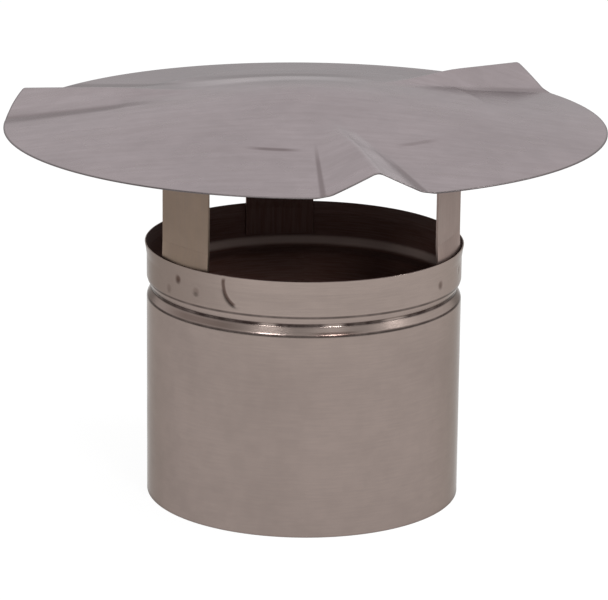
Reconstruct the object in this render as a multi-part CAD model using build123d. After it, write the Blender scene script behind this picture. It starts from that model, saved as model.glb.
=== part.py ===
from build123d import *
import os
from math import asin, atan, cos, degrees, hypot, sqrt

# Chimney cap of stainless sheet: a flue tube with a rolled groove, three strap legs spot welded
# inside its collar, and a rain cover folded from one flat disc into a cone with radial pleats.
# Millimetres and degrees, +Z up, origin at the centre of the tube's bottom edge.

# Sheet metal
SHEET = 0.6                # gauge of the tube and the cover
STRAP = 1.0                # gauge of the legs
SEAT_GAP = 0.1             # air left between two sheets that are spot welded together

# Flue tube
TUBE_OUTSIDE = 150.0       # outside diameter
TUBE_HEIGHT = 123.5
SOCKET_DEPTH = 97.3        # plain wall that takes the flue pipe, up to the groove
GROOVE_WIDTH = 9.0
GROOVE_DEPTH = 2.2         # inwards, so that the groove stops the pipe
GROOVE_FLANK = 4.0         # height of each sloping side of the groove
RIM_FLARE = 0.9            # how far the top edge leans outwards
RIM_FLARE_HEIGHT = 6.0

# Rain cover
COVER_RADIUS = 142.0       # plan radius of the smooth sectors at their edge
COVER_GAP = 56.5           # open height from the tube's rim up to the cover's edge
COVER_RISE = 19.0          # from the sectors' edge up to the apex
PLEAT_COUNT = 3
PLEAT_AZIMUTH = 42.8       # first pleat, from +X towards +Y
PLEAT_HALF_ANGLE = 9.2     # half of a pleat's spread, seen from above
PLEAT_HEIGHT = 11.4        # unrounded crest above the sectors, at the edge
LEFT_PLEAT_HALF_ANGLE = 13.5    # the left pleat is pressed lower and wider than the other two
LEFT_PLEAT_HEIGHT = 7.2
CREST_BEND = 3.0           # rounding of the folded outline, at the level of the sectors' edge
FOOT_WIDTH = 4.0           # half-bent strip along a pleat's foot, at the edge
FOOT_RISE = 1.4            # height of that strip where it joins the pleat's side
STEP_RADIUS = 85.0         # shallow round step pressed into the middle of the cover
STEP_HEIGHT = 0.5
STEP_RAMP = 3.0            # width of the step's slope, in plan

# Legs
LEG_AZIMUTH = 100.0        # first leg, from +X towards +Y; one leg stands between two pleats
LEG_WIDTH = 34.0
LEG_FOOT_MARGIN = 1.5      # foot's lower end above the groove
LEG_FOOT_HEIGHT = 13.0     # part of the foot that follows the round collar
LEG_FLAT_ABOVE_RIM = 8.0   # height above the rim where the strap has become flat
LEG_EDGE_CLEARANCE = 0.4   # flat strap's long edges inside the tube's bore
LEG_BEND = 2.5             # bend radius along the strap's middle, under the cover
LEG_TAB_LENGTH = 21.0      # inward tab under the cover, in plan

# Derived values
BORE_RADIUS = TUBE_OUTSIDE / 2 - SHEET
GROOVE_TOP = SOCKET_DEPTH + GROOVE_WIDTH
COVER_EDGE_Z = TUBE_HEIGHT + COVER_GAP
APEX_Z = COVER_EDGE_Z + COVER_RISE
SECTOR_SLOPE = COVER_RISE / COVER_RADIUS
COVER_SHEET_UPRIGHT = SHEET / cos(atan(SECTOR_SLOPE))
PLEAT_SPACING = 360 / PLEAT_COUNT
LEFT_PLEAT_INDEX = 1
LEG_HALF_WIDTH = LEG_WIDTH / 2
LEG_NAMES = ("leg_back", "leg_left", "leg_right")


def flue_tube():
    """Rolled tube: plain socket wall, inward groove, collar and a slightly flared rim."""
    middle = TUBE_OUTSIDE / 2 - SHEET / 2
    wall = Polyline(
        (middle, 0),
        (middle, SOCKET_DEPTH),
        (middle - GROOVE_DEPTH, SOCKET_DEPTH + GROOVE_FLANK),
        (middle - GROOVE_DEPTH, GROOVE_TOP - GROOVE_FLANK),
        (middle, GROOVE_TOP),
        (middle, TUBE_HEIGHT - RIM_FLARE_HEIGHT),
        (middle + RIM_FLARE, TUBE_HEIGHT),
    )
    section = Plane.XZ * trace(wall, SHEET)
    return revolve(section, Axis.Z)


def pleat_spike(half_angle, height):
    """One pleat along +X, cut level at the sectors' edge: it runs out to a long point."""
    crest = Vector(COVER_RISE * COVER_RADIUS / (COVER_RISE - height), 0)
    root = Vector(COVER_RADIUS, 0)
    foot_outer = root.rotate(Axis.Z, half_angle + degrees(FOOT_WIDTH / COVER_RADIUS))
    foot_inner = root.rotate(Axis.Z, half_angle)
    foot_share = FOOT_RISE / (COVER_RISE - FOOT_RISE) * COVER_RADIUS / (crest - root).length
    knee = foot_inner + (crest - foot_inner) * foot_share
    upper_side = [foot_outer, knee]
    lower_side = [Vector(knee.X, -knee.Y), Vector(foot_outer.X, -foot_outer.Y)]
    spike = make_face(Polyline((0, 0), *upper_side, crest, *lower_side, close=True))
    return fillet(spike.vertices().sort_by(Axis.X)[-1], CREST_BEND)


def pleated_outline(scale):
    """The folded cover cut level at its sectors' edge: a circle with a long spike for each pleat."""
    outline = Circle(COVER_RADIUS)
    for index in range(PLEAT_COUNT):
        if index == LEFT_PLEAT_INDEX:
            spike = pleat_spike(LEFT_PLEAT_HALF_ANGLE, LEFT_PLEAT_HEIGHT)
        else:
            spike = pleat_spike(PLEAT_HALF_ANGLE, PLEAT_HEIGHT)
        outline += Rot(Z=PLEAT_AZIMUTH + index * PLEAT_SPACING) * spike
    return outline.scale(scale)


def sector_z(radius):
    """Height of the smooth sectors' upper face at a plan radius."""
    return APEX_Z - SECTOR_SLOPE * radius


def pressed_middle():
    """Solid under the raised middle of the cover, whose sloping edge runs on below the sectors."""
    drop = STEP_HEIGHT + SECTOR_SLOPE * STEP_RAMP
    ramp_end = STEP_RADIUS + 2 * STEP_RAMP
    step_z = sector_z(STEP_RADIUS) + STEP_HEIGHT
    profile = Polyline(
        (0, APEX_Z + STEP_HEIGHT),
        (STEP_RADIUS, step_z),
        (ramp_end, step_z - 2 * drop),
        (0, step_z - 2 * drop),
        close=True,
    )
    return revolve(Plane.XZ * make_face(profile), Axis.Z)


def rain_cover():
    """A flat disc folded into pleats that all run out at the apex, trimmed where the disc ends."""
    oversize = 1.3
    outline = Pos(Z=APEX_Z - COVER_RISE * oversize) * pleated_outline(oversize)
    body = loft([outline.face(), Vertex(0, 0, APEX_Z)], ruled=True) + pressed_middle()
    disc_radius = hypot(COVER_RADIUS, COVER_RISE)
    sheet = body - Pos(Z=-COVER_SHEET_UPRIGHT) * body
    return sheet & Pos(Z=APEX_Z) * Sphere(disc_radius)


def leg():
    """One strap along +X: a round foot in the collar, a flat upright and a tab under the cover."""
    foot_face = BORE_RADIUS - SEAT_GAP
    flat_face = sqrt((BORE_RADIUS - LEG_EDGE_CLEARANCE) ** 2 - LEG_HALF_WIDTH ** 2)
    foot_bottom = GROOVE_TOP + LEG_FOOT_MARGIN
    foot_top = foot_bottom + LEG_FOOT_HEIGHT
    flat_bottom = TUBE_HEIGHT + LEG_FLAT_ABOVE_RIM

    half_angle = degrees(asin(LEG_HALF_WIDTH / foot_face))
    outer = CenterArc((0, 0), foot_face, -half_angle, 2 * half_angle)
    inner = CenterArc((0, 0), foot_face - STRAP, -half_angle, 2 * half_angle)
    round_section = make_face([outer, inner, Line(outer @ 0, inner @ 0), Line(outer @ 1, inner @ 1)])
    flat_section = Pos(X=flat_face - STRAP / 2) * Rectangle(STRAP, LEG_WIDTH)
    foot = extrude(Pos(Z=foot_bottom) * round_section, LEG_FOOT_HEIGHT, dir=(0, 0, 1))
    neck = loft([
        (Pos(Z=foot_top) * round_section).face(),
        (Pos(Z=flat_bottom) * flat_section).face(),
    ], ruled=True)

    # The flat tab meets the cone at its inner corners, and stays a weld's gap below it there
    tab_tip = flat_face - LEG_TAB_LENGTH
    raised = STEP_HEIGHT if STEP_RADIUS > flat_face else 0
    corner_drop = (hypot(tab_tip, LEG_HALF_WIDTH) - tab_tip) * SECTOR_SLOPE
    strap_middle = STRAP / 2 / cos(atan(SECTOR_SLOPE))
    ceiling = APEX_Z + raised - COVER_SHEET_UPRIGHT - corner_drop - SEAT_GAP - strap_middle
    upright_middle = flat_face - STRAP / 2
    side = FilletPolyline(
        (upright_middle, flat_bottom),
        (upright_middle, ceiling - SECTOR_SLOPE * upright_middle),
        (tab_tip, ceiling - SECTOR_SLOPE * tab_tip),
        radius=LEG_BEND,
    )
    upright = extrude(Plane.XZ * trace(side, STRAP), LEG_HALF_WIDTH, both=True)
    return foot + neck + upright


def build():
    """All pieces by name, where they belong."""
    pieces = {"flue_tube": flue_tube(), "rain_cover": rain_cover()}
    strap = leg()
    for index, name in enumerate(LEG_NAMES):
        pieces[name] = Rot(Z=LEG_AZIMUTH + index * PLEAT_SPACING) * strap
    return pieces


os.makedirs("parts", exist_ok=True)
for name, piece in build().items():
    export_step(piece, f"parts/{name}.step")
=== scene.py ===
from math import atan2, cos, degrees, exp, hypot, radians, sin, sqrt, tan

import bpy
from mathutils import Matrix, Vector


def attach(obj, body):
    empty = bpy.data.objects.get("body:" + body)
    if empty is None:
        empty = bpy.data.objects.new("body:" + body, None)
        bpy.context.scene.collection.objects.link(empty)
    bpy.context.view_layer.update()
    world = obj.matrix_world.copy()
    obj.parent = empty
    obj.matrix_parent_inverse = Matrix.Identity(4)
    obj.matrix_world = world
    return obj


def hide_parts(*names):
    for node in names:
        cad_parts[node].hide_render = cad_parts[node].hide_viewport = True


# Chimney cap of stainless sheet: the looks. The tube and the cover get meshes of their own with round
# bends, weld marks and soft folds; the three strap legs stay as they were packed.
# Lengths are in millimetres and angles in degrees, unless a name says otherwise; Blender is in metres.

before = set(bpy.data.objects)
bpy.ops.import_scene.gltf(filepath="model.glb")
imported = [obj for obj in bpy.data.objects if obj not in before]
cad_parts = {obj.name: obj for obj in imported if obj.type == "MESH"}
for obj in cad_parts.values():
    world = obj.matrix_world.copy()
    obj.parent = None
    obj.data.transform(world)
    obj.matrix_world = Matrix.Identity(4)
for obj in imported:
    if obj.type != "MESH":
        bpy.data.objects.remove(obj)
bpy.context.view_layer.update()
scene = bpy.context.scene
scene.view_settings.view_transform = "Standard"

MM = 0.001

# Sheet metal
SHEET = 0.6
EDGE_ROUNDING = 0.15       # cut edges of the sheet

# Flue tube
TUBE_RADIUS = 75.0         # outside
TUBE_HEIGHT = 123.5
SOCKET_DEPTH = 97.3
GROOVE_WIDTH = 9.0
GROOVE_DEPTH = 2.2
GROOVE_FLANK = 4.0
GROOVE_LOWER_BEND = 4.0    # rounding of the groove's shoulder towards the socket
GROOVE_UPPER_BEND = 2.0    # rounding of its shoulder towards the collar
GROOVE_ROOT_BEND = 1.3     # rounding of its deepest line
RIM_FLARE = 0.9
RIM_FLARE_HEIGHT = 6.0
RIM_BEND = 9.0
CREASE_DEPTH = 0.2         # roll mark at the groove's upper shoulder
CREASE_WIDTH = 0.4
CREASE_Z = 106.2
SEAM_AZIMUTH = 90.0        # welded seam of the rolled sheet, at the back
SEAM_WIDTH = 1.2
SEAM_HEIGHT = 0.12

# Spot welds on the collar: azimuth, height, strength of the heat stain
WELDS = (
    (218.9, 116.4, 0.95), (213.2, 110.4, 0.35), (228.4, 113.1, 0.35),
    (328.0, 112.8, 0.65), (346.0, 114.5, 0.3),
    (94.0, 112.5, 0.4), (106.0, 114.5, 0.4),
)
WELD_RADIUS = 1.7
WELD_DEPTH = 0.2
WELD_LIP = 0.04            # height of the lip round a weld's dent
WELD_LIP_RADIUS = 2.89
WELD_LIP_WIDTH = 0.595
STAIN_INNER = 0.68         # a weld's heat stain is full up to here
STAIN_OUTER = 2.72         # and ends here

# Curved press mark on the collar: part of a ring round a point of the wall
PRESS_AZIMUTH = 248.6
PRESS_Z = 119.1
PRESS_RADIUS = 10.6
PRESS_WIDTH = 1.0
PRESS_DEPTH = 0.3
PRESS_MIDDLE = (241.2, 114.9)
PRESS_REACH = 8.0
PRESS_END_SOFTNESS = 0.9
PRESS_STAIN_HALF_WIDTH = 1.4
PRESS_STAIN_FULL = 6.0     # distance from its middle up to which the mark is stained in full
PRESS_STAIN = 0.9
MARK_REACH = 4.0           # a dent is left out beyond this many times its width

# Rain cover
COVER_RADIUS = 142.0
COVER_EDGE_Z = 180.0
COVER_RISE = 19.0
PLEAT_COUNT = 3
PLEAT_AZIMUTH = 42.8
PLEAT_HALF_ANGLE = 9.2
PLEAT_HEIGHT = 11.4
LEFT_PLEAT_INDEX = 1       # this pleat is pressed lower and wider than the other two
LEFT_PLEAT_HALF_ANGLE = 13.5
LEFT_PLEAT_HEIGHT = 7.2
CREST_BEND = 3.0
FOOT_WIDTH = 4.0
FOOT_RISE = 1.4
FOLD_SOFTENING = 1.1       # half of the width over which a fold is rounded
FOLD_SOFTENING_FROM = 11.0    # radius from which that width stays the same; nearer, its angle does
FOLD_SAMPLES = (-1, -0.6, -0.2, 0.2, 0.6, 1)    # shares of that half width that are averaged
PLEAT_START = 30.0         # radius where the pleats begin to rise from the smooth middle
PLEAT_FULL = 104.0         # radius where they have their full height
APEX_BEND = 14.0           # radius within which the cone's point is rounded
APEX_REACH = 120.0         # radius where that rounding has faded out
STEP_RADIUS = 85.0
STEP_HEIGHT = 0.5
STEP_RAMP = 3.0
STEP_SOFTENING = 0.9       # height over which the step's two edges are rounded

# Mesh steps: millimetres along the tube's wall, degrees round the axis
PLAIN_STEP = 6.0
COLLAR_STEP = 0.5
COARSE_TURN = 1.5
MARK_TURN = 0.3
MARKED_TURNS = ((84, 112), (208, 248), (324, 351))
PLEAT_TURN = 0.25
PLEAT_FINE_HALF_ANGLE = 16
SHARP_ANGLE = 35

# Painted light and shade on the tube's collar: ranges of height and of X over which they come in, and their
# strengths
COLLAR_PAINTED_LIGHT_Z = (70.0, 112.0)
COLLAR_PAINTED_LIGHT_X = (-65.0, -25.0)
COLLAR_PAINTED_LIGHT_STRENGTHS = (0.1, 0.45)
COLLAR_PAINTED_SHADE_Z = (104.0, 108.0)
COLLAR_PAINTED_SHADE_X = (-62.0, -20.0)
COLLAR_PAINTED_SHADE_STRENGTH = 0.6

# Painted shade in the tube's groove. Dark lines at its shoulders: height, half width, strength
SHOULDER_CREASES = ((106.1, 0.9, 0.75), (97.4, 0.8, 0.8))
ROOT_CREASE_Z = 101.9
ROOT_CREASE_HALF_WIDTH = 1.3
# Stretches of its deepest line left without painted shade, so the lamps' glints show: azimuth, half width
# in degrees
ROOT_SHADE_GAPS = ((257.0, 4.5), (281.0, 5.5), (305.0, 7.5))
# Painted shade on stretches of its lower side: azimuth, half width in degrees, height, half width, strength
FLANK_PAINTED_SHADES = ((230.0, 27.0, 99.4, 2.4, 0.6), (281.0, 12.0, 98.0, 1.5, 0.8))
GROOVE_PATCHES = 90.0      # thinner patches of the groove's painted shade, per metre
PATCH_RANGE = (0.3, 0.6)
PATCH_LEVELS = (0.7, 1.0)
RIDGE_Z = 104.3            # upper side of the groove's ridge, seen inside the tube; a painted highlight lies there
RIDGE_HALF_WIDTH = 2.6

# Painted light and shade on the cover. Painted shade in bands along the pleats' feet: azimuth, half width
# in degrees, strength, radius where the band begins
FOOT_SHADES = (
    (33.0, 2.0, 0.5, 85.0), (52.6, 2.0, 0.5, 85.0),
    (146.0, 4.2, 1.0, 60.0), (179.6, 4.2, 1.0, 60.0),
    (273.2, 0.8, 0.9, 75.0), (291.2, 1.4, 1.0, 92.0),
)
# Painted light on pleat sides: azimuth, half width in degrees, strength, radius where the light begins
FACE_LIGHTS = ((286.5, 4.5, 0.8, 62.0), (168.0, 10.0, 0.12, 75.0))
MARK_FADE = 30.0           # radius over which these bands come in
# Painted shade on the stretches of the round step that show: azimuth, half width in degrees, strength
STEP_SHADES = ((260.5, 10.0, 1.0), (306.0, 10.0, 0.5))
STEP_SHADE_HALF_WIDTH = 2.2
# Painted highlight and shade of a faint straight bend across the back of the middle
BEND_LINE_X = -14.0
BEND_LINE_HALF_LENGTH = 55.0
BEND_LINE_STRENGTH = 0.8
BEND_LIGHT_Y = 36.5
BEND_LIGHT_HALF_WIDTH = 15.0
BEND_SHADE_Y = 53.5
BEND_SHADE_HALF_WIDTH = 12.0
CUT_EDGE_WIDTH = 0.9       # painted shade: a dark strip along the cover's cut edge
CUT_EDGE_FULL = 0.2        # distance from the edge where the strip is full
CUT_EDGE_STRENGTH = 0.8

# Painted light on the legs' lower part, up to their neck, where the strap turns from round to flat
NECK_Z = (130.5, 132.0)
NECK_PAINTED_LIGHT = 1.18

# Colours, linear red, green, blue and alpha
TUBE_STEEL = (0.272, 0.219, 0.198, 1)
# Colours of the collar's painted light and painted shade
COLLAR_PAINTED_LIGHT = (0.375, 0.305, 0.27, 1)
COLLAR_PAINTED_SHADE = (0.19, 0.148, 0.125, 1)
COVER_STEEL = (0.38, 0.33, 0.34, 1)
# the left strap's steel is the strap steel darkened by painted shade
LEFT_STRAP_STEEL_PAINTED_SHADE = (0.247, 0.184, 0.141, 1)
STRAP_STEEL = (0.32, 0.243, 0.217, 1)
GRAIN = (0.2, 0.16, 0.15, 1)
# painted shade for faces turned to the flue's axis
INSIDE_PAINTED_SHADE = (0.065, 0.024, 0.016, 1)
RIDGE_PAINTED_SHEEN = (0.25, 0.19, 0.165, 1)
# heat tint of the welds and press mark, also used as painted shade on the groove's lower side
HEAT_TINT_AND_PAINTED_SHADE = (0.075, 0.045, 0.035, 1)
# painted shade in the groove's creases
CREASE_PAINTED_SHADE = (0.018, 0.01, 0.009, 1)
FOLD_SHADE = (0.225, 0.185, 0.19, 1)
BEND_LIGHT = (0.68, 0.62, 0.635, 1)
# colour of the painted shade along the cover's cut edge
CUT_EDGE_PAINTED_SHADE = (0.12, 0.105, 0.105, 1)
TUBE_EDGE_TINT = (0.62, 0.6, 0.58, 1)
COVER_EDGE_TINT = (0.66, 0.64, 0.645, 1)
STRAP_EDGE_TINT = (0.72, 0.7, 0.68, 1)
WHITE = (1, 1, 1, 1)
FLOOR_WHITE = (0.12, 0.12, 0.12, 1)

# Finish of the sheets
TUBE_ROUGHNESS = 0.2
COVER_ROUGHNESS = 0.26
STRAP_ROUGHNESS = 0.4
INSIDE_SHADE_ROUGHNESS = 0.6
ROUGHNESS_SPREAD = 0.02
CLOUD_SCALE = 16.0         # per metre, as the next two
BLOTCH_SCALE = 130.0
SMUDGE_SCALE = 55.0
CLOUD_LEVELS = (0.95, 1.05)
BLOTCH_LEVELS = (-0.03, 0.03)
NOISE_RANGE = (0.3, 0.7)   # most of a noise's values
TUBE_GRAIN = (60.0, 60.0, 1400.0)     # per metre along the arc, 0 and up: lines run round the tube
COVER_GRAIN = (30.0, 320.0, 30.0)
STRAP_GRAIN = (900.0, 900.0, 40.0)
GRAIN_RANGE = (0.35, 0.65)
GRAIN_STRENGTH = 0.16
COVER_GRAIN_STRENGTH = 0.12
GRAIN_BUMP = 0.1
GRAIN_DEPTH_METRES = 0.00002
IN_PLAN = (1, 1, 0)        # keeps X and Y of a place
FACING_IN = (-0.6, -0.2)   # cosines to the outward direction, from painted shade to none

# Brightness of the floor and the surroundings, where white is 1
FLOOR_GLOW = 0.93
# glow of the floor inside the tube, kept low as a painted shadow
FLOOR_SHADOW_INSIDE_TUBE = 0.1
FRONT_HORIZON = 0.3
BACK_HORIZON = 0.5
OPEN_SKY = 1.0
HIGH_SKY = 0.5
WORLD_LIGHTING = 0.5       # level that lights dull faces

# Studio, in metres
FLOOR_HALF_SIZE = 6.0
FLOOR_SHADOW_EDGE = (0.07, 0.078)       # painted shadow: the floor's glow is dark up to here, inside the tube
GLOW_END = (0.62, 0.8)           # distances over which the floor's mirrored glow ends
FRONT_TO_BACK = (-0.4, 0.2)      # values of Y over which front turns to back
FLOOR_ROUGHNESS = 0.9
LAMP_AIM = (0, 0, 0.1)
# Elevations in degrees over which the mirrored sky changes
FRONT_HORIZON_BAND = (5, 9)
BACK_HORIZON_BAND = (2, 5)
FRONT_DIMMING = (24, 42)
BACK_DIMMING = (45, 60)
# Lamps: name, azimuth and elevation in degrees, distance, width and height in metres, watts
LAMPS = (
    ("overhead", 270, 80, 2.0, 1.6, 1.6, 14.0),
    ("front_left", 244, 28, 1.6, 0.4, 0.14, 3.5),
    ("front_right", 292, 24, 1.6, 0.3, 0.14, 7.0),
    ("right", 349, 38, 1.6, 0.3, 0.3, 8.0),
)

# Camera, fitted to the photo
IMAGE_WIDTH = 608
FOCAL_PIXELS = 3432.0
CAMERA_DISTANCE = 1641.0
CAMERA_ELEVATION = 15.82
CAMERA_ROLL = 0.62
CAMERA_TARGET = (0.1, 0.0, 93.6)
SENSOR = 36.0

# Derived values
APEX_Z = COVER_EDGE_Z + COVER_RISE
SECTOR_SLOPE = COVER_RISE / COVER_RADIUS
DISC_RADIUS = hypot(COVER_RADIUS, COVER_RISE)
COVER_SHEET_UPRIGHT = SHEET * sqrt(1 + SECTOR_SLOPE ** 2)
PLEAT_SPACING = 360 / PLEAT_COUNT


# Mesh helpers

def new_piece(name, vertices, faces, node):
    """A mesh piece in the row frame that stands for one CAD node."""
    mesh = bpy.data.meshes.new(name)
    mesh.from_pydata([Vector(v) * MM for v in vertices], [], faces)
    mesh.validate()
    mesh.shade_smooth()
    mesh.set_sharp_from_angle(angle=radians(SHARP_ANGLE))
    piece = bpy.data.objects.new(name, mesh)
    scene.collection.objects.link(piece)
    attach(piece, "root")
    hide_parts(node)
    return piece


def grid_faces(rows, columns, closed_rows):
    """Quads of a grid whose columns close in a ring; vertex index is row * columns + column."""
    faces = []
    for row in range(rows if closed_rows else rows - 1):
        upper = (row + 1) % rows
        for column in range(columns):
            beside = (column + 1) % columns
            faces.append((
                row * columns + column,
                row * columns + beside,
                upper * columns + beside,
                upper * columns + column,
            ))
    return faces


def azimuths(coarse, fine, fine_ranges):
    """Azimuths once round, with small steps inside the given ranges."""
    result = []
    azimuth = 0.0
    while azimuth < 360 - 1e-6:
        result.append(azimuth)
        inside = any(low <= azimuth < high for low, high in fine_ranges)
        azimuth += fine if inside else coarse
    return result


def rounded(points, bends, steps=7):
    """A polyline with each inner corner replaced by an arc of the given bend radius."""
    path = [Vector(points[0])]
    for before, corner, after, bend in zip(points, points[1:], points[2:], bends):
        corner = Vector(corner)
        back = (Vector(before) - corner).normalized()
        ahead = (Vector(after) - corner).normalized()
        half = back.angle(ahead) / 2
        reach = bend / tan(half)
        centre = corner + (back + ahead).normalized() * (bend / sin(half))
        start = corner + back * reach - centre
        sweep = start.angle_signed(corner + ahead * reach - centre)
        for step in range(steps + 1):
            turned = start.copy()
            turned.rotate(Matrix.Rotation(-sweep * step / steps, 2))
            path.append(centre + turned)
    path.append(Vector(points[-1]))
    return path


def divided(path, step_at):
    """The same polyline with its long stretches cut into steps that depend on height."""
    result = [path[0]]
    for start, end in zip(path, path[1:]):
        count = max(1, round((end - start).length / step_at((start.y + end.y) / 2)))
        for index in range(1, count + 1):
            result.append(start.lerp(end, index / count))
    return result


def shifted(path, distance):
    """The polyline moved sideways; a positive distance lies to the right of its direction."""
    result = []
    for index, point in enumerate(path):
        ahead = (path[min(index + 1, len(path) - 1)] - path[max(index - 1, 0)]).normalized()
        result.append(point + Vector((ahead.y, -ahead.x)) * distance)
    return result


# Flue tube

def wall_distance(azimuth, z, spot):
    """Distance along the tube's wall from a spot given by azimuth and height."""
    turn = (azimuth - spot[0] + 180) % 360 - 180
    return hypot(radians(turn) * TUBE_RADIUS, z - spot[1])


def bell(distance, width):
    """1 at no distance, falling smoothly to nothing a few widths off."""
    return exp(-(distance / width) ** 2)


def dent(azimuth, z):
    """How far the tube's outside is pressed in at a place; seam and weld lips count as negative."""
    depth = CREASE_DEPTH * bell(z - CREASE_Z, CREASE_WIDTH)
    for weld_azimuth, weld_z, _ in WELDS:
        away = wall_distance(azimuth, z, (weld_azimuth, weld_z))
        if away < MARK_REACH * WELD_RADIUS:
            depth += WELD_DEPTH * bell(away, WELD_RADIUS)
            depth -= WELD_LIP * bell(away - WELD_LIP_RADIUS, WELD_LIP_WIDTH)
    ring = wall_distance(azimuth, z, (PRESS_AZIMUTH, PRESS_Z)) - PRESS_RADIUS
    if abs(ring) < MARK_REACH * PRESS_WIDTH:
        reach = wall_distance(azimuth, z, PRESS_MIDDLE) / PRESS_REACH
        depth += PRESS_DEPTH * bell(ring, PRESS_WIDTH) * bell(reach ** 2, PRESS_END_SOFTNESS)
    seam = wall_distance(azimuth, z, (SEAM_AZIMUTH, z))
    return depth - SEAM_HEIGHT * bell(seam, SEAM_WIDTH)


def tube_step(z):
    """Mesh step along the wall: fine on the collar, where the marks are."""
    return COLLAR_STEP if z > SOCKET_DEPTH + GROOVE_WIDTH else PLAIN_STEP


def tube_skin():
    """The tube's sheet: a closed section carried once round, with its marks pressed into the outside."""
    middle = TUBE_RADIUS - SHEET / 2
    groove_top = SOCKET_DEPTH + GROOVE_WIDTH
    corners = [
        (middle, 0),
        (middle, SOCKET_DEPTH),
        (middle - GROOVE_DEPTH, SOCKET_DEPTH + GROOVE_FLANK),
        (middle - GROOVE_DEPTH, groove_top - GROOVE_FLANK),
        (middle, groove_top),
        (middle, TUBE_HEIGHT - RIM_FLARE_HEIGHT),
        (middle + RIM_FLARE, TUBE_HEIGHT),
    ]
    bends = (GROOVE_LOWER_BEND, GROOVE_ROOT_BEND, GROOVE_ROOT_BEND, GROOVE_UPPER_BEND, RIM_BEND)
    path = rounded(corners, bends)
    fine = divided(path, tube_step)
    plain = divided(path, lambda z: PLAIN_STEP)

    # Closed section: up the outside, over the rim, down the inside and back under the bottom edge
    half = SHEET / 2
    lip = EDGE_ROUNDING
    up = (fine[-1] - fine[-2]).normalized()
    top_outside = shifted(fine, half)[-1] - up * lip
    top_inside = shifted(fine, -half)[-1] - up * lip
    across = (top_inside - top_outside).normalized()
    outside = shifted(fine, half)[1:-1]
    inside = shifted(plain, -half)[1:-1]
    rim = [
        top_outside,
        top_outside + up * lip + across * lip,
        top_inside + up * lip - across * lip,
        top_inside,
    ]
    foot = [
        Vector((middle - half, lip)),
        Vector((middle - half + lip, 0)),
        Vector((middle + half - lip, 0)),
        Vector((middle + half, lip)),
    ]
    section = foot[3:] + outside + rim + inside[::-1] + foot[:3]
    marked = len(outside) + 1

    around = azimuths(COARSE_TURN, MARK_TURN, MARKED_TURNS)
    vertices = []
    for row, (radius, z) in enumerate(section):
        for azimuth in around:
            pressed = radius - (dent(azimuth, z) if row <= marked else 0)
            turn = radians(azimuth)
            vertices.append((pressed * cos(turn), pressed * sin(turn), z))
    faces = grid_faces(len(section), len(around), closed_rows=True)
    return new_piece("tube_skin", vertices, faces, "flue_tube")


# Rain cover

def segment_reach(start, end, turn):
    """How far a ray from the centre goes until it meets the line from start to end."""
    ray = Vector((cos(turn), sin(turn)))
    along = end - start
    return (start.x * along.y - start.y * along.x) / (ray.x * along.y - ray.y * along.x)


def outline_reach(offset, half_angle, height):
    """Plan radius, at the sectors' edge level, of the folded outline at an angle off a pleat's crest."""
    turn = radians(abs(offset))
    half = radians(half_angle)
    foot_turn = half + FOOT_WIDTH / COVER_RADIUS
    if turn >= foot_turn:
        return COVER_RADIUS
    crest = Vector((COVER_RISE * COVER_RADIUS / (COVER_RISE - height), 0))
    root = Vector((COVER_RADIUS, 0))
    foot_outer = Vector((COVER_RADIUS * cos(foot_turn), COVER_RADIUS * sin(foot_turn)))
    foot_inner = Vector((COVER_RADIUS * cos(half), COVER_RADIUS * sin(half)))
    foot_share = FOOT_RISE / (COVER_RISE - FOOT_RISE) * COVER_RADIUS / (crest - root).length
    knee = foot_inner + (crest - foot_inner) * foot_share
    if turn >= atan2(knee.y, knee.x):
        return segment_reach(knee, foot_outer, turn)
    tip_angle = atan2(knee.y, crest.x - knee.x)
    bend_centre = crest.x - CREST_BEND / sin(tip_angle)
    if bend_centre * sin(turn) < CREST_BEND * cos(tip_angle + turn):
        return bend_centre * cos(turn) + sqrt(CREST_BEND ** 2 - (bend_centre * sin(turn)) ** 2)
    return segment_reach(knee, crest, turn)


def fold_slope(azimuth):
    """Fall of the folded cone per millimetre of plan radius along an azimuth, with sharp folds."""
    turn = (azimuth - PLEAT_AZIMUTH + PLEAT_SPACING / 2) % 360
    index, offset = divmod(turn, PLEAT_SPACING)
    offset -= PLEAT_SPACING / 2
    if index == LEFT_PLEAT_INDEX:
        return COVER_RISE / outline_reach(offset, LEFT_PLEAT_HALF_ANGLE, LEFT_PLEAT_HEIGHT)
    return COVER_RISE / outline_reach(offset, PLEAT_HALF_ANGLE, PLEAT_HEIGHT)


def soft_slope(azimuth, radius):
    """The same fall with the folds rounded."""
    reach = degrees(FOLD_SOFTENING / max(radius, FOLD_SOFTENING_FROM))
    samples = [fold_slope(azimuth + share * reach) for share in FOLD_SAMPLES]
    return sum(samples) / len(samples)


def pleat_share(radius):
    """How much of a pleat's height is left at a radius: none in the smooth middle."""
    share = min(max((radius - PLEAT_START) / (PLEAT_FULL - PLEAT_START), 0), 1)
    return share * share * (3 - 2 * share)


def cover_z(azimuth, radius):
    """Height of the cover's upper face: the folded cone, or the pressed middle where that is higher."""
    lift = (SECTOR_SLOPE - soft_slope(azimuth, radius)) * radius * pleat_share(radius)
    rounding = APEX_BEND * max(0, 1 - (radius / APEX_REACH) ** 2) ** 2
    plain = APEX_Z - SECTOR_SLOPE * hypot(radius, rounding)
    cone = plain + lift
    middle = plain + STEP_HEIGHT
    if radius > STEP_RADIUS:
        middle -= (STEP_HEIGHT / STEP_RAMP) * (radius - STEP_RADIUS)
    gap = cone - middle
    return (cone + middle + sqrt(gap ** 2 + STEP_SOFTENING ** 2) - STEP_SOFTENING) / 2


def cover_shares():
    """Shares of the way from the apex to the edge, with small steps at the round step."""
    shares = [0.004, 0.01, 0.02, 0.035, 0.05]
    shares += [0.05 + 0.025 * index for index in range(1, 20)]
    shares += [0.55 + 0.005 * index for index in range(0, 29)]
    shares += [0.70 + 0.025 * index for index in range(1, 12)]
    return shares + [0.985, 0.995]


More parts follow.
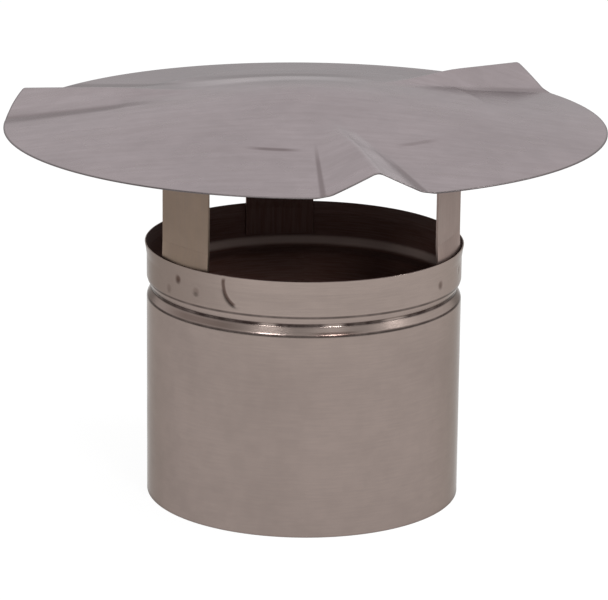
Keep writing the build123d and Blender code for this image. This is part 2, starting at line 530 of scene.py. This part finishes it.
def cover_skin():
    """The cover's sheet: rings from the apex to the edge above, over the edge, and back below."""
    ranges = []
    for index in range(PLEAT_COUNT):
        crest = PLEAT_AZIMUTH + index * PLEAT_SPACING
        ranges.append((crest - PLEAT_FINE_HALF_ANGLE, crest + PLEAT_FINE_HALF_ANGLE))
    around = azimuths(COARSE_TURN, PLEAT_TURN, ranges)
    reaches = [DISC_RADIUS / hypot(1, soft_slope(azimuth, COVER_RADIUS)) for azimuth in around]

    def ring(share, inset=0.0):
        row = []
        for azimuth, reach in zip(around, reaches):
            radius = share * reach - inset
            turn = radians(azimuth)
            row.append((radius * cos(turn), radius * sin(turn), cover_z(azimuth, radius)))
        return row

    def lowered(row, drop):
        return [(x, y, z - drop) for x, y, z in row]

    thickness = COVER_SHEET_UPRIGHT
    lip = EDGE_ROUNDING
    edge, inner_edge = ring(1), ring(1, lip)
    tops = [ring(share) for share in cover_shares()] + [inner_edge]
    rows = tops + [lowered(edge, lip), lowered(edge, thickness - lip)]
    rows += [lowered(row, thickness) for row in reversed(tops)]
    vertices = [vertex for row in rows for vertex in row]
    columns = len(around)
    faces = [face[::-1] for face in grid_faces(len(rows), columns, closed_rows=False)]
    top = len(vertices)
    vertices.append((0, 0, cover_z(0, 0)))
    vertices.append((0, 0, cover_z(0, 0) - thickness))
    last = (len(rows) - 1) * columns
    for column in range(columns):
        beside = (column + 1) % columns
        faces.append((top, column, beside))
        faces.append((top + 1, last + beside, last + column))
    return new_piece("cover_skin", vertices, faces, "rain_cover")


# Materials

class Nodes:
    """Short calls for one node tree."""

    def __init__(self, tree):
        self.tree = tree
        self.coordinates = self.add("ShaderNodeTexCoord").outputs

    def add(self, kind, inputs=None, **settings):
        node = self.tree.nodes.new(kind)
        for key, value in settings.items():
            setattr(node, key, value)
        for key, value in (inputs or {}).items():
            self.feed(node.inputs[key], value)
        return node

    def feed(self, socket, value):
        if isinstance(value, bpy.types.NodeSocket):
            self.tree.links.new(value, socket)
        else:
            socket.default_value = value

    def math(self, operation, *values):
        inputs = dict(enumerate(values))
        return self.add("ShaderNodeMath", inputs, operation=operation).outputs[0]

    def times(self, first, second):
        return self.math("MULTIPLY", first, second)

    def vector(self, operation, *values):
        inputs = dict(enumerate(values))
        return self.add("ShaderNodeVectorMath", inputs, operation=operation).outputs

    def stretched(self, vector, factors):
        return self.vector("MULTIPLY", vector, factors)["Vector"]

    def scaled(self, vector, factor):
        inputs = {"Vector": vector, "Scale": factor}
        return self.add("ShaderNodeVectorMath", inputs, operation="SCALE").outputs["Vector"]

    def dot(self, first, second):
        return self.vector("DOT_PRODUCT", first, second)["Value"]

    def length(self, vector):
        return self.vector("LENGTH", vector)["Value"]

    def parts(self, vector):
        return self.add("ShaderNodeSeparateXYZ", {"Vector": vector}).outputs

    def spread(self, value, low, high, to_low, to_high):
        """Smooth change from one level to another while the value goes from low to high."""
        inputs = {"Value": value, "From Min": low, "From Max": high, "To Min": to_low, "To Max": to_high}
        node = self.add("ShaderNodeMapRange", inputs, interpolation_type="SMOOTHSTEP")
        return node.outputs["Result"]

    def near(self, value, middle, half_width, strength):
        """The strength up to a quarter of the half width from the middle, fading to 0 at the half width."""
        off = self.math("ABSOLUTE", self.math("SUBTRACT", value, middle))
        return self.spread(off, 0.25 * half_width, half_width, strength, 0)

    def noise(self, vector, scale, detail=3.0, roughness=0.55):
        inputs = {"Vector": vector, "Scale": scale, "Detail": detail, "Roughness": roughness}
        return self.add("ShaderNodeTexNoise", inputs).outputs["Fac"]

    def mix(self, factor, first, second):
        inputs = {"Fac": factor, "Color1": first, "Color2": second}
        return self.add("ShaderNodeMixRGB", inputs).outputs["Color"]


class Steel(Nodes):
    """Node tree of one satin stainless sheet, with places measured in metres in the row frame."""

    def __init__(self, name, colour, roughness, edge_tint):
        self.material = bpy.data.materials.new(name)
        self.material.use_nodes = True
        super().__init__(self.material.node_tree)
        self.shader = self.tree.nodes["Principled BSDF"]
        self.shader.inputs["Metallic"].default_value = 1.0
        self.shader.inputs["Specular Tint"].default_value = edge_tint
        self.place = self.coordinates["Object"]
        self.xyz = self.parts(self.place)
        cloud = self.spread(self.noise(self.place, CLOUD_SCALE, detail=2.0), *NOISE_RANGE, *CLOUD_LEVELS)
        blotch = self.spread(self.noise(self.place, BLOTCH_SCALE), *NOISE_RANGE, *BLOTCH_LEVELS)
        self.tone = self.scaled(colour[:3], self.math("ADD", cloud, blotch))
        smudge = self.noise(self.place, SMUDGE_SCALE, detail=2.0)
        smooth, rough = roughness - ROUGHNESS_SPREAD, roughness + ROUGHNESS_SPREAD
        self.rough = self.spread(smudge, *NOISE_RANGE, smooth, rough)

    def between(self, axis, limits, to_low, to_high):
        """Smooth change between two places along an axis, given in millimetres."""
        return self.spread(self.xyz[axis], limits[0] * MM, limits[1] * MM, to_low, to_high)

    def line(self, axis, middle, half_width, strength):
        """A soft line across an axis, given in millimetres."""
        return self.near(self.xyz[axis], middle * MM, half_width * MM, strength)

    def sector(self, azimuth, half_angle, strength):
        """A soft wedge round an azimuth."""
        return self.near(self.turned(azimuth), 0, radians(half_angle), strength)

    def away(self, spot):
        return self.vector("DISTANCE", self.place, spot)["Value"]

    def unrolled(self):
        """The place unrolled round the axis: arc along the tube's wall, 0, height; the front is 0."""
        turn = self.math("ARCTAN2", self.xyz["X"], self.times(self.xyz["Y"], -1.0))
        arc = self.times(turn, TUBE_RADIUS * MM)
        return self.add("ShaderNodeCombineXYZ", {"X": arc, "Z": self.xyz["Z"]}).outputs["Vector"]

    def plan_radius(self):
        return self.length(self.stretched(self.place, IN_PLAN))

    def turned(self, azimuth):
        """Angle round the axis from an azimuth, in radians."""
        turn = radians(azimuth)
        along = self.dot(self.place, (cos(turn), sin(turn), 0))
        across = self.dot(self.place, (-sin(turn), cos(turn), 0))
        return self.math("ARCTAN2", across, along)

    def facing_in(self):
        """1 on faces turned to the flue's axis, 0 on faces turned away from it."""
        outward = self.vector("NORMALIZE", self.stretched(self.place, IN_PLAN))["Vector"]
        return self.spread(self.dot(self.coordinates["Normal"], outward), *FACING_IN, 1, 0)

    def stain(self, amount, colour):
        self.tone = self.mix(amount, self.tone, colour)

    def painted_shade_inside(self):
        """Painted shade, dark and dull, on the faces turned to the flue's axis; hands back where it lies.
        """
        inside = self.facing_in()
        self.stain(inside, INSIDE_PAINTED_SHADE)
        self.rough = self.spread(inside, 0, 1, self.rough, INSIDE_SHADE_ROUGHNESS)
        self.feed(self.shader.inputs["Metallic"], self.math("SUBTRACT", 1.0, inside))
        return inside

    def finished(self, grain_vector, strength):
        """The material, with a fine rolling grain laid over all."""
        grain = self.noise(grain_vector, 1.0, detail=4.0, roughness=0.6)
        self.stain(self.spread(grain, *GRAIN_RANGE, 0, strength), GRAIN)
        self.feed(self.shader.inputs["Base Color"], self.tone)
        self.feed(self.shader.inputs["Roughness"], self.rough)
        relief = {"Strength": GRAIN_BUMP, "Distance": GRAIN_DEPTH_METRES, "Height": grain}
        bump = self.add("ShaderNodeBump", relief)
        self.feed(self.shader.inputs["Normal"], bump.outputs["Normal"])
        return self.material


def wall_spot(azimuth, z):
    """A place on the tube's outside, in metres."""
    turn = radians(azimuth)
    return (TUBE_RADIUS * cos(turn) * MM, TUBE_RADIUS * sin(turn) * MM, z * MM)


def collar_painted_light_and_shade(steel):
    """Painted light makes the collar brighter at the front and right, and painted shade makes it duller on
    the left.
    """
    upper = steel.between("Z", COLLAR_PAINTED_LIGHT_Z, *COLLAR_PAINTED_LIGHT_STRENGTHS)
    rightward = steel.between("X", COLLAR_PAINTED_LIGHT_X, 0, 1)
    steel.stain(steel.times(upper, rightward), COLLAR_PAINTED_LIGHT)
    collar = steel.between("Z", COLLAR_PAINTED_SHADE_Z, 0, COLLAR_PAINTED_SHADE_STRENGTH)
    leftward = steel.between("X", COLLAR_PAINTED_SHADE_X, 1, 0)
    steel.stain(steel.times(collar, leftward), COLLAR_PAINTED_SHADE)


def collar_marks(steel):
    """Heat stains of the spot welds and of the curved press mark."""
    for azimuth, z, strength in WELDS:
        away = steel.away(wall_spot(azimuth, z))
        steel.stain(steel.spread(away, STAIN_INNER * MM, STAIN_OUTER * MM, strength, 0), HEAT_TINT_AND_PAINTED_SHADE)
    ring = steel.away(wall_spot(PRESS_AZIMUTH, PRESS_Z))
    reach = steel.away(wall_spot(*PRESS_MIDDLE))
    line = steel.near(ring, PRESS_RADIUS * MM, PRESS_STAIN_HALF_WIDTH * MM, PRESS_STAIN)
    ends = steel.spread(reach, PRESS_STAIN_FULL * MM, PRESS_REACH * MM, 1, 0)
    steel.stain(steel.times(line, ends), HEAT_TINT_AND_PAINTED_SHADE)


def groove_painted_shade(steel, unrolled):
    """Painted shade on the groove's lower side and in dark lines, with thinner patches and stretches left
    bright.
    """
    for azimuth, half_angle, z, half_width, strength in FLANK_PAINTED_SHADES:
        stretch = steel.sector(azimuth, half_angle, strength)
        steel.stain(steel.times(steel.line("Z", z, half_width, 1), stretch), HEAT_TINT_AND_PAINTED_SHADE)
    patches = steel.noise(steel.stretched(unrolled, IN_PLAN), GROOVE_PATCHES)
    patchy = steel.spread(patches, *PATCH_RANGE, *PATCH_LEVELS)
    # painted shade along the groove's shoulders and deepest line
    for z, half_width, strength in SHOULDER_CREASES:
        steel.stain(steel.times(steel.line("Z", z, half_width, strength), patchy), CREASE_PAINTED_SHADE)
    root = steel.line("Z", ROOT_CREASE_Z, ROOT_CREASE_HALF_WIDTH, 1)
    for azimuth, half_angle in ROOT_SHADE_GAPS:
        root = steel.times(root, steel.math("ADD", steel.sector(azimuth, half_angle, -1), 1.0))
    steel.stain(steel.times(root, patchy), CREASE_PAINTED_SHADE)


def tube_material():
    steel = Steel("rolled_tube_steel", TUBE_STEEL, TUBE_ROUGHNESS, TUBE_EDGE_TINT)
    unrolled = steel.unrolled()
    collar_painted_light_and_shade(steel)
    collar_marks(steel)
    groove_painted_shade(steel, unrolled)
    # painted shade on the inside of the tube
    inside = steel.painted_shade_inside()
    # painted highlight on the groove's ridge inside the tube
    ridge = steel.line("Z", RIDGE_Z, RIDGE_HALF_WIDTH, 1)
    steel.stain(steel.times(ridge, inside), RIDGE_PAINTED_SHEEN)
    return steel.finished(steel.stretched(unrolled, TUBE_GRAIN), GRAIN_STRENGTH)


def fold_painted_light_and_shade(steel, radius):
    """Painted shade along the pleats' feet, painted light on pleat sides, and painted shade on the
    stretches of the step that show.
    """
    for bands, colour in ((FOOT_SHADES, FOLD_SHADE), (FACE_LIGHTS, BEND_LIGHT)):
        for azimuth, half_angle, strength, start in bands:
            begin = steel.spread(radius, start * MM, (start + MARK_FADE) * MM, 0, 1)
            steel.stain(steel.times(steel.sector(azimuth, half_angle, strength), begin), colour)
    step_middle = STEP_RADIUS + STEP_RAMP / 2
    step = steel.near(radius, step_middle * MM, STEP_SHADE_HALF_WIDTH * MM, 1)
    for azimuth, half_angle, strength in STEP_SHADES:
        steel.stain(steel.times(step, steel.sector(azimuth, half_angle, strength)), FOLD_SHADE)


def bend_painted_light_and_shade(steel):
    """A painted highlight with a painted shade behind it, straight across the back of the middle."""
    stretch = steel.line("X", BEND_LINE_X, BEND_LINE_HALF_LENGTH, 1)
    light = steel.line("Y", BEND_LIGHT_Y, BEND_LIGHT_HALF_WIDTH, BEND_LINE_STRENGTH)
    shade = steel.line("Y", BEND_SHADE_Y, BEND_SHADE_HALF_WIDTH, BEND_LINE_STRENGTH)
    steel.stain(steel.times(light, stretch), BEND_LIGHT)
    steel.stain(steel.times(shade, stretch), FOLD_SHADE)


def cut_edge_painted_shade(steel):
    """Painted shade: a dark strip along the disc's edge, which lies at one distance from the apex, folded
    or not.
    """
    reach = steel.away((0, 0, APEX_Z * MM))
    start = (DISC_RADIUS - CUT_EDGE_WIDTH) * MM
    full = (DISC_RADIUS - CUT_EDGE_FULL) * MM
    steel.stain(steel.spread(reach, start, full, 0, CUT_EDGE_STRENGTH), CUT_EDGE_PAINTED_SHADE)


def cover_material():
    steel = Steel("cover_steel", COVER_STEEL, COVER_ROUGHNESS, COVER_EDGE_TINT)
    fold_painted_light_and_shade(steel, steel.plan_radius())
    bend_painted_light_and_shade(steel)
    cut_edge_painted_shade(steel)
    return steel.finished(steel.stretched(steel.place, COVER_GRAIN), COVER_GRAIN_STRENGTH)


def strap_material(name, colour):
    steel = Steel(name, colour, STRAP_ROUGHNESS, STRAP_EDGE_TINT)
    # painted light on the legs below their neck
    neck_painted_light = steel.scaled(colour[:3], NECK_PAINTED_LIGHT)
    steel.stain(steel.between("Z", NECK_Z, 1, 0), neck_painted_light)
    # painted shade on the straps' faces turned to the axis
    steel.painted_shade_inside()
    return steel.finished(steel.stretched(steel.place, STRAP_GRAIN), GRAIN_STRENGTH)


def paint(piece, material):
    piece.data.materials.clear()
    piece.data.materials.append(material)


paint(tube_skin(), tube_material())
paint(cover_skin(), cover_material())
# the left leg's darker steel is painted shade
paint(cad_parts["leg_left"], strap_material("left_strap_steel_painted_shade", LEFT_STRAP_STEEL_PAINTED_SHADE))
strap_steel = strap_material("strap_steel", STRAP_STEEL)
paint(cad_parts["leg_right"], strap_steel)
paint(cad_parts["leg_back"], strap_steel)


# Studio: white floor and surroundings, soft overhead light and three small lights for the groove

def ray_levels(nodes, camera, mirrored, lighting):
    """One level for rays from the camera, one for those that metal or glass sends on, one for lighting."""
    path = nodes.add("ShaderNodeLightPath").outputs
    sent_on = nodes.math("MAXIMUM", path["Is Glossy Ray"], path["Is Transmission Ray"])
    others = nodes.spread(sent_on, 0, 1, lighting, mirrored)
    return nodes.spread(path["Is Camera Ray"], 0, 1, others, camera)


def floor():
    """White floor whose glow stays seen in metal near the cap and is darker further off, as in a room;
    inside the tube the glow is dark, a painted shadow.
    """
    mesh = bpy.data.meshes.new("floor")
    half = FLOOR_HALF_SIZE
    corners = [(-half, -half, 0), (half, -half, 0), (half, half, 0), (-half, half, 0)]
    mesh.from_pydata(corners, [], [(0, 1, 2, 3)])
    plane = bpy.data.objects.new("floor", mesh)
    scene.collection.objects.link(plane)
    material = bpy.data.materials.new("floor_white")
    material.use_nodes = True
    nodes = Nodes(material.node_tree)
    shader = nodes.tree.nodes["Principled BSDF"]
    shader.inputs["Base Color"].default_value = FLOOR_WHITE
    shader.inputs["Roughness"].default_value = FLOOR_ROUGHNESS
    shader.inputs["Specular IOR Level"].default_value = 0.0
    shader.inputs["Emission Color"].default_value = WHITE
    place = nodes.coordinates["Object"]
    far = nodes.spread(nodes.parts(place)["Y"], *FRONT_TO_BACK, FRONT_HORIZON, BACK_HORIZON)
    distance = nodes.length(place)
    glow_with_painted_shadow = nodes.spread(distance, *FLOOR_SHADOW_EDGE, FLOOR_SHADOW_INSIDE_TUBE, FLOOR_GLOW)
    mirrored = nodes.spread(distance, *GLOW_END, glow_with_painted_shadow, far)
    nodes.feed(shader.inputs["Emission Strength"], ray_levels(nodes, FLOOR_GLOW, mirrored, 0))
    paint(plane, material)


def surroundings():
    """White to the eye; metal sees a darker band at the horizon and a dimmer sky overhead."""
    world = bpy.data.worlds.new("studio")
    world.use_nodes = True
    scene.world = world
    nodes = Nodes(world.node_tree)
    background = nodes.tree.nodes["Background"]
    background.inputs["Color"].default_value = WHITE
    direction = nodes.parts(nodes.coordinates["Generated"])

    def rising(elevations, below, above):
        low, high = (sin(radians(elevation)) for elevation in elevations)
        return nodes.spread(direction["Z"], low, high, below, above)

    horizon = nodes.spread(direction["Y"], *FRONT_TO_BACK, FRONT_HORIZON, BACK_HORIZON)
    front = rising(FRONT_DIMMING, rising(FRONT_HORIZON_BAND, horizon, OPEN_SKY), HIGH_SKY)
    back = rising(BACK_DIMMING, rising(BACK_HORIZON_BAND, horizon, OPEN_SKY), HIGH_SKY)
    sky = nodes.spread(direction["Y"], *FRONT_TO_BACK, front, back)
    nodes.feed(background.inputs["Strength"], ray_levels(nodes, 1.0, sky, WORLD_LIGHTING))


def lamp(name, azimuth, elevation, distance, width, height, watts):
    """A soft light that looks at the middle of the cap."""
    light = bpy.data.lights.new(name, "AREA")
    light.shape = "RECTANGLE"
    light.size = width
    light.size_y = height
    light.energy = watts
    body = bpy.data.objects.new(name, light)
    scene.collection.objects.link(body)
    level, turn = radians(elevation), radians(azimuth)
    direction = Vector((cos(level) * cos(turn), cos(level) * sin(turn), sin(level)))
    body.location = Vector(LAMP_AIM) + direction * distance
    body.rotation_euler = direction.to_track_quat("Z", "Y").to_euler()


def camera():
    """The photo's view: from the front and a little above, with a small roll."""
    level, roll = radians(CAMERA_ELEVATION), radians(CAMERA_ROLL)
    ahead = Vector((0, cos(level), -sin(level)))
    right = Vector((1, 0, 0))
    up = Vector((0, sin(level), cos(level)))
    rolled_right = right * cos(roll) + up * sin(roll)
    rolled_up = up * cos(roll) - right * sin(roll)
    place = (Vector(CAMERA_TARGET) - ahead * CAMERA_DISTANCE) * MM
    lens = bpy.data.cameras.new("camera")
    lens.sensor_width = SENSOR
    lens.lens = FOCAL_PIXELS / IMAGE_WIDTH * SENSOR
    body = bpy.data.objects.new("camera", lens)
    turned = Matrix((rolled_right, rolled_up, -ahead)).transposed().to_4x4()
    body.matrix_world = Matrix.Translation(place) @ turned
    scene.collection.objects.link(body)
    scene.camera = body


floor()
surroundings()
for lamp_values in LAMPS:
    lamp(*lamp_values)
camera()

bpy.context.view_layer.update()
